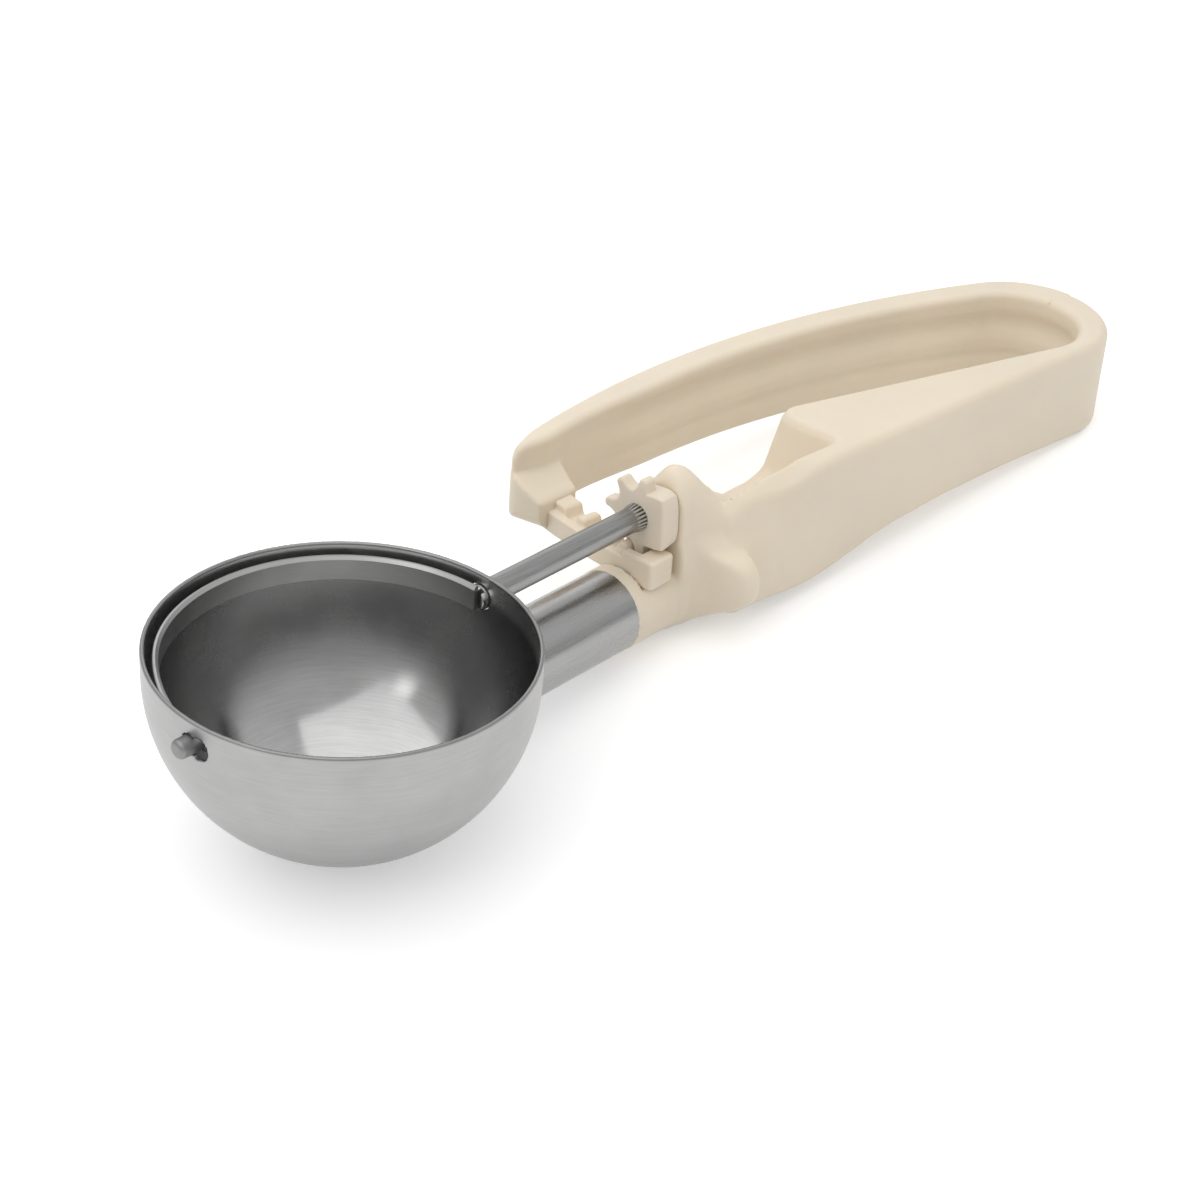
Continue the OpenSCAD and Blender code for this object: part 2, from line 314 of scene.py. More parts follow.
def loop_outer(x, y):
    """Plan distance to the outside of the handle loop."""
    angle = np.degrees(np.arctan2(y - END_C[1], x - END_C[0]))
    disc = np.hypot(x - END_C[0], y - END_C[1]) - END_R
    bow = np.hypot(x - BOW_C[0], y - BOW_C[1]) - BOW_R
    side = (x - HEEL[0]) * HEEL_FACING[0] + (y - HEEL[1]) * HEEL_FACING[1]
    return np.where((angle > END_ARC[0]) & (angle < END_ARC[1]), disc, np.maximum(bow, side))


def bow_inside(x, y):
    """Plan distance to the lever's inner arc, negative towards the grip."""
    return np.hypot(x - BOW_C[0], y - BOW_C[1]) - BOW_IN


def loop_hollow(x, y):
    """Plan distance to the hollow of the loop, negative inside the hollow."""
    angle = np.degrees(np.arctan2(y - HOLE_C[1], x - HOLE_C[0]))
    disc = np.hypot(x - HOLE_C[0], y - HOLE_C[1]) - HOLE_R
    side = (x - WING[0]) * WING_FACING[0] + (y - WING[1]) * WING_FACING[1]
    slot = np.maximum(bow_inside(x, y), side)
    return np.where((angle > HOLE_ARC[0]) & (angle < HOLE_ARC[1]), disc, slot)


def under_lever(x):
    """Height of the lever's underside, which rises towards the bowl."""
    return RACK_FLOOR - (x - CHANNEL_X) * TILT


# Depth of the lever's inner face: its front pocket along X, and its grooves by height
POCKET_X = [68.0, 70.8, 74.0, 77.4, 85.0]
POCKET_D = [5.2, 4.8, 3.3, 2.3, 1.8]
GROOVE_Z = [-20.0, -13.8, -12.9, -12.3, -11.3, -8.8, -5.8, -4.4, -2.0, 0.0]
GROOVE_D = [0.0, 0.0, 0.6, 0.6, 0.0, 0.0, 1.5, 1.5, 0.2, 0.2]


def groove_depth(x, y, z):
    """How far the inner face of lever and closed end is set back, none on the grip's side."""
    level = z + 0.02 * (x - 110)
    rib = soft_curve(level, GROOVE_Z, GROOVE_D, 0.7)
    share = smooth_step(x, 85, 111)
    on_lever = smooth_step(y + 0.32 * np.maximum(x - 125, 0), 5.7, 15.7)
    pocket = soft_curve(x, POCKET_X, POCKET_D, 1.0)
    return (pocket * (1 - share) + rib * share) * on_lever


# Height of the rack's shelf across the lever's front end
SHELF_Y = [20.0, 21.5, 23.0, 27.0, 30.0]
SHELF_Z = [-9.5, -9.3, -8.5, -6.0, -5.5]


def lever_field(x, y, z):
    """Lever with the sloped shelf that carries the rack, and its side of the closed end."""
    rise = under_lever(x) - z
    front = LEVER_FRONT + FRONT_SLANT * np.clip(28 - y, 0, 10) - x
    near_end = 1 - smooth_step(x, 69, 79)
    ends = rounded_max(loop_outer(x, y), front, 5.0)
    shell = rounded_max(ends, z, 1.6 + 2.2 * near_end)
    shell = rounded_max(shell, rise, 1.0 + 1.6 * near_end)
    hollow = np.where(x < 150, bow_inside(x, y), loop_hollow(x, y))
    wall = rounded_max(shell, groove_depth(x, y, z) - hollow, 1.5)
    shelf_top = z - np.interp(y, SHELF_Y, SHELF_Z)
    reach = np.hypot(x - HINGE[0], y - HINGE[1])
    shelf = np.maximum(RACK_IN - 1.5 - reach, front)
    shelf = rounded_max(shelf, STEP_Y - 0.2 - y, 0.6)
    shelf = rounded_max(shelf, shelf_top, 1.0)
    shelf = rounded_max(shelf, ends, 1.0)
    body = rounded_min(wall, np.maximum(shelf, shell), 0.6)
    return np.maximum(body, rounded_max(front, rise, CHIN_R))


# Forms of the grip along X: underside, top, slope of the top, edge of the bar and waist. Then
# the wing's front face across Y
GRIP_X = [94, 97, 101, 106, 112, 122, 128, 134, 140, 148, 170, 187, 200, 215]
GRIP_Z = [-25.4, -25.4, -25.8, -26.3, -25.8, -23.7, -22.2, -21.5, -21.1, -20.5,
          -20.3, -20.9, -21.2, -21.0]
TOP_X = [86, 88, 90.5, 93, 96, 107, 215]
TOP_Z = [-4.4, -3.0, -1.5, -0.8, -0.4, 0.0, 0.0]
SLOPE_X = [86, 94, 97, 107, 113]
TOP_SLOPE = [0.95, 0.92, 0.85, 0.22, 0.0]
INNER_X = [86, 88, 90.5, 93, 96]
INNER_Y = [-7.2, -8.4, -9.7, -10.4, -10.7]
WAIST_X = [86, 88, 90.5, 94, 97, 102, 107, 113]
WAIST_Y = [11.0, 11.4, 12.1, 13.0, 13.7, 15.3, 17.0, 40.0]
WING_Y = [-12.0, -9.0, -5.9, -0.9, 3.1, 6.0]
WING_X = [119.4, 119.2, 118.8, 118.6, 119.2, 120.6]
WING_LEAN, WING_COSINE = 0.35, 0.94


def wing_front(x, y, z):
    """Distance ahead of the front face of the thumb wing, which slopes forward going down."""
    face = soft_curve(y, WING_Y, WING_X, 0.8)
    return (face + np.clip(z + 1, -16, 0) * WING_LEAN - x) * WING_COSINE


def grip_field(x, y, z):
    """Bar and thumb wing of the grip, with the round belly under its front."""
    low = soft_curve(x, GRIP_X, GRIP_Z, 3.0)
    top = soft_curve(x, TOP_X, TOP_Z, 2.0)
    inner = groove_depth(x, y, z) - loop_hollow(x, y)
    bar_edge = soft_curve(x, INNER_X, INNER_Y, 1.0)
    opening = rounded_min(wing_front(x, y, z), y - bar_edge, 2.4)
    plan = rounded_max(loop_outer(x, y), GRIP_FRONT - x, 2.0)
    waist = soft_curve(x, WAIST_X, WAIST_Y, 1.5) + 3.0 * smooth_step(-z, 7, 15)
    plan = rounded_max(plan, -y - waist, 1.0)
    tilt = soft_curve(x, SLOPE_X, TOP_SLOPE, 2.0)
    height = (z - top + tilt * np.maximum(bar_edge - y, 0)) / np.sqrt(1 + tilt * tilt)
    body = rounded_max(plan, height, 0.9 + 1.3 * smooth_step(x, 98, 118))
    body = rounded_max(body, low - z, 1.0)
    hole = rounded_max(inner, opening, 4.5)
    body = rounded_max(body, hole, 0.6 + 1.3 * smooth_step(x, 106, 118))
    housing = np.hypot(y, z - NECK_Z) - HOUSING_R
    housing = np.maximum(np.maximum(housing, HOUSING_X0 - x), x - HOUSING_X1)
    housing = np.maximum(housing, low - z)
    return rounded_min(body, housing, 2.5)


# Outlines (y, z) of the guard at distances from the rim centre: from the top round the finger
# side to the bottom, then the plain side, which runs from its front form to its back form
# between two distances
GUARD_STATIONS = [78.0, 80.4, 81.6, 83.0, 84.6, 86.4, 88.4, 90.4, 93.0, 96.5]
GUARD_OUTLINES = [
    [(2.6, -0.6), (0.8, 1.4), (-0.8, 3.1), (-2.6, 3.9), (-5.0, 2.7), (-6.8, -0.8), (-7.3, -5),
     (-7.5, -10), (-7.9, -16), (-8.05, -22), (-6.6, -26.7), (-3.4, -29.4), (0, -30.1)],
    [(2.6, -0.3), (0.8, 1.7), (-0.8, 3.6), (-2.6, 4.1), (-5.3, 2.8), (-7.3, -1), (-7.7, -5),
     (-7.9, -9), (-8.8, -13), (-9.3, -17), (-8.9, -22), (-7.0, -26.9), (-3.6, -29.6), (0, -30.2)],
    [(2.8, -0.2), (1.0, 2.0), (-0.8, 3.7), (-2.6, 4.1), (-5.5, 2.7), (-7.7, -1.2), (-8.1, -5),
     (-8.4, -8.6), (-10.2, -11.2), (-11.4, -15), (-11.3, -20), (-8.6, -26.2), (-4.0, -29.5),
     (0, -30.2)],
    [(3.2, -0.4), (1.6, 1.8), (-0.4, 3.1), (-2.6, 3.6), (-5.6, 2.2), (-8.0, -1.6), (-8.6, -5),
     (-9.2, -8.4), (-11.4, -11.0), (-14.3, -12.2), (-15.6, -15), (-15.5, -18.8), (-12.2, -23.8),
     (-7.6, -27), (-3.8, -29.4), (0, -30.2)],
    [(3.6, -0.6), (2.0, 1.5), (0, 2.2), (-2.6, 2.2), (-5.6, 1.0), (-8.2, -1.8), (-9.2, -5),
     (-10.0, -8.2), (-12.4, -11.0), (-15.4, -12.0), (-17.8, -13.9), (-18.4, -16.8),
     (-17.8, -19.8), (-14.0, -23.4), (-9.4, -26.2), (-5.0, -28.9), (0, -30.1)],
    [(3.6, -0.4), (1.6, 0.9), (-1, 0.8), (-3.2, 0.2), (-5.8, -0.8), (-8.4, -2.8), (-10.2, -5.4),
     (-10.9, -8.4), (-12.8, -10.8), (-16.0, -11.8), (-18.3, -13.8), (-19.0, -16.8),
     (-18.6, -19.8), (-15.2, -23.0), (-10.2, -26.0), (-5.6, -28.9), (0, -30.1)],
    [(4, -1.4), (1.6, -0.6), (-1, -0.9), (-3.6, -1.9), (-6, -2.9), (-8.8, -4.6), (-10.7, -5.8),
     (-11.3, -6.8), (-11.6, -8.8), (-12.6, -10.9), (-15.8, -12.0), (-17.9, -14.0), (-18.7, -17.0),
     (-18.1, -20.3), (-15.0, -23.4), (-10.6, -26.6), (-5.0, -29.4), (0, -30.0)],
    [(4, -2.6), (1.6, -2.3), (-1.4, -3.4), (-3.8, -4.1), (-6, -4.1), (-9, -5.2), (-11.0, -5.9),
     (-11.7, -6.8), (-12.0, -8.8), (-12.0, -11.5), (-12.6, -14.5), (-13.2, -17.5), (-13.2, -20.8),
     (-12.0, -24.0), (-8.8, -27.0), (-4.4, -29.2), (0, -29.8)],
    [(3.2, -4.4), (0.8, -5.2), (-1.8, -5.6), (-4.2, -5.4), (-6.2, -4.9), (-9, -5.4),
     (-11.6, -5.8), (-12.5, -6.6), (-12.8, -8), (-12.8, -11), (-13.0, -16), (-13.2, -20),
     (-12.4, -24.4), (-9, -27.4), (-4.4, -29.0), (0, -29.4)],
    [(3.0, -7.8), (0.8, -8.4), (-2, -8.1), (-4.4, -6.8), (-6.8, -4.9), (-9.2, -5.0),
     (-12.4, -5.2), (-13.3, -6.0), (-13.6, -7.5), (-14.0, -10), (-14.4, -15), (-14.6, -20),
     (-12.6, -24.8), (-8.6, -27.4), (-4.4, -28.6), (0, -28.6)],
]
PLAIN_FRONT = [(4.6, -4.2), (5.4, -6.8), (5.8, -10), (6.6, -14), (7.6, -18.5), (8.1, -22),
               (6.7, -26.8), (3.4, -29.5)]
PLAIN_BACK = [(4.6, -8.4), (7.2, -10.2), (8.6, -12.6), (9.3, -16), (9.4, -19.5), (9.3, -22),
              (7.6, -25.6), (4.1, -28.0)]
PLAIN_FROM, PLAIN_TO = 80, 94
GUARD_MID = -14.0
GUARD_TURN = 360
GUARD_STEP = 0.1
TURN_BLUR, STATION_BLUR = 1.8, 4.0


def periodic_curve(angles, values, wanted):
    """Smooth closed curve through values at rising angles, by cubic pieces."""
    a = np.concatenate([angles - 2 * math.pi, angles, angles + 2 * math.pi])
    v = np.concatenate([values] * 3)
    return smooth_through(a, v, wanted)


def smooth_through(keys, values, wanted):
    """Cubic curve through keyed values that keeps their rises and falls."""
    d = np.diff(values) / np.diff(keys)
    m = np.zeros(len(values))
    same = d[1:] * d[:-1] > 0
    w1 = 2 * np.diff(keys)[1:] + np.diff(keys)[:-1]
    w2 = np.diff(keys)[1:] + 2 * np.diff(keys)[:-1]
    with np.errstate(divide="ignore", invalid="ignore"):
        m[1:-1] = np.where(same, (w1 + w2) / (w1 / d[:-1] + w2 / d[1:]), 0)
    m[0], m[-1] = d[0], d[-1]
    i = np.clip(np.searchsorted(keys, wanted) - 1, 0, len(keys) - 2)
    h = (keys[1:] - keys[:-1])[i]
    t = np.clip((wanted - keys[i]) / h, 0, 1)
    return ((1 + 2 * t) * (1 - t) ** 2 * values[i] + t * (1 - t) ** 2 * h * m[i]
            + t * t * (3 - 2 * t) * values[i + 1] - t * t * (1 - t) * h * m[i + 1])


def blur_kernel(half, width):
    """Bell-shaped weights that add up to one, half of them on each side of the middle."""
    kernel = np.exp(-0.5 * (np.arange(-half, half + 1) / width) ** 2)
    return kernel / kernel.sum()


def guard_table():
    """Radius of the guard about its middle line, for each distance and turn."""
    turns = np.linspace(-math.pi, math.pi, GUARD_TURN, endpoint=False)
    rows = []
    for station, outline in zip(GUARD_STATIONS, GUARD_OUTLINES):
        share = smooth_step(station, PLAIN_FROM, PLAIN_TO)
        plain = np.array(PLAIN_FRONT) * (1 - share) + np.array(PLAIN_BACK) * share
        p = np.concatenate([np.array(outline, float), plain])
        angle = np.arctan2(p[:, 0], p[:, 1] - GUARD_MID)
        order = np.argsort(angle)
        radius = np.hypot(p[:, 0], p[:, 1] - GUARD_MID)
        rows.append(periodic_curve(angle[order], radius[order], turns))
    rows = np.array(rows)
    stations = np.arange(GUARD_STATIONS[0], GUARD_STATIONS[-1], GUARD_STEP)
    table = np.empty((len(stations), GUARD_TURN))
    for j in range(GUARD_TURN):
        table[:, j] = smooth_through(np.array(GUARD_STATIONS), rows[:, j], stations)
    kernel = blur_kernel(9, TURN_BLUR)
    wide = np.pad(table, ((0, 0), (9, 9)), mode="wrap")
    for i in range(len(stations)):
        table[i] = np.convolve(wide[i], kernel, "same")[9:-9]
    wide = np.pad(table, ((12, 12), (0, 0)), mode="edge")
    kernel = blur_kernel(12, STATION_BLUR)
    for j in range(GUARD_TURN):
        table[:, j] = np.convolve(wide[:, j], kernel, "same")[12:-12]
    return table


GUARD = guard_table()


def guard_radius(x, turn):
    """Radius looked up in the table, between its rows and columns."""
    u = np.clip((x - GUARD_STATIONS[0]) / GUARD_STEP, 0, len(GUARD) - 1.001)
    v = (turn + math.pi) / (2 * math.pi) * GUARD_TURN
    i, j = u.astype(int), np.floor(v).astype(int)
    a, b = u - i, v - j
    j, k = j % GUARD_TURN, (j + 1) % GUARD_TURN
    return ((GUARD[i, j] * (1 - b) + GUARD[i, k] * b) * (1 - a)
            + (GUARD[i + 1, j] * (1 - b) + GUARD[i + 1, k] * b) * a)


def guard_field(x, y, z):
    """Finger guard behind the pinion, as far as the grip."""
    turn = np.arctan2(y, z - GUARD_MID)
    radius = np.hypot(y, z - GUARD_MID)
    edge = guard_radius(x, turn)
    steep = (guard_radius(x + 0.3, turn) - guard_radius(x - 0.3, turn)) / 0.6
    side = (radius - edge) / np.sqrt(1 + steep * steep)
    body = rounded_max(side, GUARD_X - x, 1.0 + 1.4 * smooth_step(z, -2, 2))
    return np.maximum(body, x - GUARD_END)


def collar_field(x, y, z):
    """Round collar over the neck tube, its top cut down for the rack."""
    ring = np.hypot(y, z - NECK_Z) - COLLAR_R
    collar = rounded_max(ring, COLLAR_X - x, 0.5)
    reach = np.hypot(x - HINGE[0], y - HINGE[1])
    channel = np.maximum(reach - RACK_OUT - CHANNEL_GAP, RACK_FLOOR - CHANNEL_GAP - z)
    collar = rounded_max(collar, -channel, 0.15)
    return np.maximum(collar, x - COLLAR_END)


def handle_field(x, y, z):
    """Collar, guard, grip and fixed side of the closed end."""
    body = smooth_min(grip_field(x, y, z), guard_field(x, y, z), 1.2)
    body = smooth_min(body, collar_field(x, y, z), 1.2)
    bore = np.maximum(np.hypot(y, z - AXIS_Z) - SHAFT_R - BORE_GAP, x - BORE_END)
    return rounded_max(body, -bore, 0.3)


def divider(x):
    """Line through the hollow between the lever's field and the handle's."""
    return DIVIDER_Y - np.maximum(x - DIVIDER_X, 0) * DIVIDER_SLOPE


def moulding_field(x, y, z):
    """Whole loop, the lever side taken from the lever and the grip side from the handle."""
    return np.where(y > divider(x), lever_field(x, y, z), handle_field(x, y, z))


def make_moulding(ivory):
    """One surface, shared out between the still side, the swinging side and the bend."""
    low, high = (65.0, -24.0, -31.5), (214.0, 36.0, 6.0)
    points, quads, normals = solid_mesh(moulding_field, low, high, 0.6)
    middle = points[quads].mean(axis=1)
    bend = (middle[:, 0] > CUT_X) & (middle[:, 1] < CUT_Y)
    lever = ~bend & (middle[:, 1] > divider(middle[:, 0]))
    pieces = {"handle": ~bend & ~lever, "bend": bend, "lever": lever}
    out = {}
    for key, mask in pieces.items():
        p, q, n = part_of(points, quads, normals, mask)
        out[key] = add_object("moulding_" + key, p, q, ivory, n)
    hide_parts("collar_guard", "grip")
    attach(out["handle"], "handle")
    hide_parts("closed_end")
    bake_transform(out["bend"])
    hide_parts("squeeze_lever")
    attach(out["lever"], "lever")


# ---------------------------------------------------------------- rack and pinion

# Half the width of the rack's notches by height
NOTCH_Z = [NOTCH_FLOOR, -11.0, RACK_TOP]
NOTCH_HALF = [1.15, 1.75, 2.05]


def rack_field(x, y, z):
    """Toothed bar with a thin front wall, whole at the nose and lower beside the lands."""
    reach = np.hypot(x - HINGE[0], y - HINGE[1])
    bar = np.maximum(RACK_IN - reach, reach - RACK_OUT)
    nose = rounded_max(bar, -RACK_NOSE - y, 0.8)
    body = rounded_max(nose, RACK_FLOOR - z, 0.45)
    top = z - RACK_TOP - STEP_RISE * smooth_step(y, STEP_Y, STEP_Y + 0.6)
    body = rounded_max(body, top, 0.7)
    front = RACK_OUT - LEDGE_W - reach
    ledge = rounded_max(front, LEDGE_TOP - z, 0.3)
    ledge = np.maximum(ledge, np.maximum(LEDGE_Y - y, y - STEP_Y))
    body = rounded_max(body, -ledge, 0.4)
    for k in range(4):
        turn = (MESH_LEAD / TOOTH_ANGLE - k) * RACK_PITCH / MESH_ARM
        across = -(x - HINGE[0]) * math.sin(turn) + (y - HINGE[1]) * math.cos(turn) + HINGE[1]
        width = np.interp(z, NOTCH_Z, NOTCH_HALF)
        notch = rounded_max(np.abs(across) - width, NOTCH_FLOOR - z, 0.4)
        notch = rounded_max(notch, -front, 0.4)
        body = rounded_max(body, -notch, 0.4)
    return np.maximum(body, y - RACK_END)


def make_rack(ivory):
    """The toothed bar, which rides on the lever."""
    p, q, n = solid_mesh(rack_field, (68.5, -8.0, -17.0), (82.0, 28.5, -8.6), 0.25, 0.05)
    rack = add_object("rack", p, q, ivory, n)
    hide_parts("lever_rack")
    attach(rack, "lever")


# Outlines: the stop block as (y, height over the axis), a tooth as (along it, across it)
STOP_R, STOP_TAPER = 8.5, 0.22
STOP_OUTLINE = [(0.3, 5.2), (-1.0, 5.5), (-6.0, 6.0), (-6.6, -4.7), (-1.7, -5.55), (0.3, -5.2)]
TOOTH_SHIFTS = [3.0, 0.0, -1.0, -4.0, -10.0]
TOOTH_W = 2.9
TOOTH_OUTLINE = [(0.0, -1.9), (ROOT_R, -1.55), (PITCH_R, -1.15), (TIP_R - 0.35, -0.85), (TIP_R, -0.4),
                 (TIP_R, 0.4), (TIP_R - 0.35, 0.85), (PITCH_R, 1.15), (ROOT_R, 1.55), (0.0, 1.9)]


def pinion_field(x, y, z):
    """Five of seven teeth round a hub, with the flat-sided block that stops the turn."""
    u, v = y, z - AXIS_Z
    radius = np.hypot(u, v)
    outline = radius - ROOT_R
    for k, shift in enumerate(TOOTH_SHIFTS):
        a = math.radians(k * TOOTH_ANGLE - 90 - MESH_LEAD + shift)
        along = u * math.cos(a) + v * math.sin(a)
        across = -u * math.sin(a) + v * math.cos(a)
        outline = rounded_min(outline, polygon_distance(along, across, TOOTH_OUTLINE), 0.5)
    teeth = rounded_max(outline, x - TOOTH_FRONT - TOOTH_W, 0.5)
    block_end = radius - STOP_R + (x - TOOTH_FRONT) * STOP_TAPER
    block = rounded_max(polygon_distance(u, v, STOP_OUTLINE), block_end, 1.2)
    body = np.minimum(np.minimum(teeth, block), radius - ROOT_R)
    body = rounded_max(body, TOOTH_FRONT - x, 0.5)
    body = rounded_max(body, x - PINION_X - PINION_W, 0.4)
    return np.maximum(body, SHAFT_R + 0.2 - radius)


def make_pinion(plastic):
    """The part-toothed wheel, which turns with the shaft."""
    p, q, n = solid_mesh(pinion_field, (72.8, -9.0, -13.6), (78.8, 9.0, 4.4), 0.2, 0.05)
    pinion = add_object("pinion_wheel", p, q, plastic, n)
    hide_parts("pinion")
    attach(pinion, "scraper")


# ---------------------------------------------------------------- steel

def bowl_field(x, y, z):
    """Round-bottomed cup with a straight band, a rolled rim and its two openings."""
    level = np.minimum(z - AXIS_Z, 0)
    radius = np.sqrt(x * x + y * y + level * level)
    wall = np.maximum(radius - BOWL_R, BOWL_IN - radius)
    cup = rounded_max(wall, z, RIM_EDGE)
    shaft = np.maximum(np.hypot(y, z - AXIS_Z) - SHAFT_R - HOLE_GAP, -x)
    pin = np.hypot(y, z - AXIS_Z) - PIN_R - HOLE_GAP
    slot = np.hypot(y - SLOT_Y, z - AXIS_Z) - PIN_R - SLOT_GAP
    front = np.maximum(np.minimum(pin, slot), x)
    return rounded_max(cup, -np.minimum(shaft, front), 0.12)


def make_bowl(steel):
    """The cup, still with the handle."""
    p, q, n = solid_mesh(bowl_field, (-33.9, -33.9, -38.5), (33.9, 33.9, 0.6), 0.44, 0.02)
    bowl = add_object("bowl_cup", p, q, steel, n)
    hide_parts("bowl")
    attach(bowl, "handle")


def make_tube(steel):
    """Neck tube from the wall of the bowl into the collar, ending ahead of the rack's channel."""
    around, along = 128, 24
    turn = np.linspace(0, 2 * math.pi, around, endpoint=False)
    y, z = NECK_R * np.cos(turn), NECK_Z + NECK_R * np.sin(turn)
    start = np.sqrt(np.maximum(NECK_WELD_R ** 2 - y * y - (z - AXIS_Z) ** 2, 0))
    points = []
    for i in range(along + 1):
        x = start + (NECK_END - start) * i / along
        points += list(zip(x, y, z))
    faces = ring_faces(along + 1, around, first_cap=False)
    normals = np.array([(0, math.cos(a), math.sin(a)) for a in turn] * (along + 1))
    tube = add_object("neck", np.array(points), faces, steel, normals)
    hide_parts("neck_tube")
    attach(tube, "handle")


# The blade's section as (distance from the bowl's centre, height over the scraper's axis)
BLADE_SECTION = [(BLADE_OUT, -1.6), (BLADE_OUT, 2.85), (BLADE_OUT - 0.12, BLADE_TOP),
                 (BLADE_IN + 0.5, BLADE_TOP), (BLADE_IN, 2.4), (BLADE_IN, -1.6),
                 (BLADE_IN + 0.1, BLADE_LOW), (BLADE_OUT - 0.1, BLADE_LOW)]


def make_blade(steel):
    """Curved scraper strip along the wall, with its inner top edge ground off."""
    dense = []
    for (r1, z1), (r2, z2) in zip(BLADE_SECTION, BLADE_SECTION[1:] + BLADE_SECTION[:1]):
        steps = max(1, round(math.hypot(r2 - r1, z2 - z1) / 0.8))
        dense += [(r1 + (r2 - r1) * i / steps, z1 + (z2 - z1) * i / steps) for i in range(steps)]
    columns = 160
    points = []
    for i in range(columns + 1):
        t = math.radians(BLADE_FROM - BLADE_SWEEP * i / columns)
        taper = TAPER * float(smooth_step(math.degrees(t), TAPER_FROM, TAPER_TO))
        for r, full in dense:
            dz = full - taper * max(full, 0) / BLADE_TOP
            flat = math.sqrt(r * r - dz * dz)
            points.append((flat * math.cos(t), max(flat * math.sin(t), BLADE_BACK_Y), AXIS_Z + dz))
    faces = ring_faces(columns + 1, len(dense))
    blade = add_object("blade", np.array(points), faces, steel, None)
    sharpen(blade, 32)
    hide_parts("scraper_blade")
    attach(blade, "scraper")


def sharpen(obj, degrees):
    """Smooth shading that keeps edges sharper than an angle."""
    obj.data.set_sharp_from_angle(angle=math.radians(degrees))


def rod_profile(x0, x1, r, edge):
    """Profile of a rod between x0 and x1 with both edges rounded."""
    return ([(x0, NEAR_AXIS)] + arc_profile(x0 + edge, r - edge, edge, 180, 90, 5)
            + arc_profile(x1 - edge, r - edge, edge, 90, 0, 5) + [(x1, NEAR_AXIS)])


def make_shaft(steel, bright, dark):
    """Rod from the bowl into the guard, its slotted head and the knurl ahead of the pinion."""
    p, f = lathe(rod_profile(SHAFT_X0, SHAFT_X1, SHAFT_R, 0.3), 64)
    shaft = add_object("shaft", p, f, steel, None)
    sharpen(shaft, 40)
    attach(shaft, "scraper")

    def head(x, y, z):
        turned = np.hypot(y, z - AXIS_Z) - HEAD_R
        knob = rounded_max(turned, np.abs(x - HEAD_X) - HEAD_HALF, 0.35)
        slit = np.maximum(np.abs(y - SLIT_Y) - SLIT_HALF, x - SLIT_END)
        return rounded_max(knob, -slit, 0.15)

    p, q, n = solid_mesh(head, (29.6, -2.8, -7.4), (32.8, 2.8, -1.8), 0.13, 0.03)
    knob = add_object("shaft_head", p, q, bright, n)
    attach(knob, "scraper")
    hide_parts("scraper_shaft")

    along = 16
    points = []
    turn = np.linspace(0, 2 * math.pi, KNURLS * 6, endpoint=False)
    wave = KNURL_DEPTH * np.cos(turn * KNURLS)
    for i in range(along + 1):
        share = i / along
        x = KNURL_X + KNURL_LENGTH * share
        r = SHAFT_R - 0.05 + KNURL_RISE * share + wave * min(1.0, 1.6 * share)
        points += list(zip(np.full(len(turn), x), r * np.cos(turn), AXIS_Z + r * np.sin(turn)))
    faces = ring_faces(along + 1, len(turn))
    # The knurl's material paints highlights on its ridges and shade in its grooves
    knurl = add_object("shaft_knurl", np.array(points), faces, dark, None)
    sharpen(knurl, 50)
    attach(knurl, "scraper")


def make_pin(steel):
    """Pivot pin through the bowl's slot: round tip, neck through the blade, flat inner head."""
    tip, edge = 0.8, 0.3
    profile = ([(PIN_TIP_X, NEAR_AXIS)] + arc_profile(PIN_TIP_X + tip, PIN_R - tip, tip, 180, 90, 8)
               + [(PIN_SLOT_X, PIN_R), (PIN_SLOT_X + 0.1, PIN_NECK_R), (PIN_HEAD_X, PIN_NECK_R),
                  (PIN_HEAD_X, PIN_R - 0.1), (PIN_HEAD_X + 0.1, PIN_R)]
               + arc_profile(PIN_END_X - edge, PIN_R - edge, edge, 90, 0, 5)
               + [(PIN_END_X, NEAR_AXIS)])
    p, f = lathe(profile, 48)
    pin = add_object("pivot_pin", p, f, steel, None)
    sharpen(pin, 40)
    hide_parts("blade_pivot_pin")
    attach(pin, "scraper")


# ---------------------------------------------------------------- materials

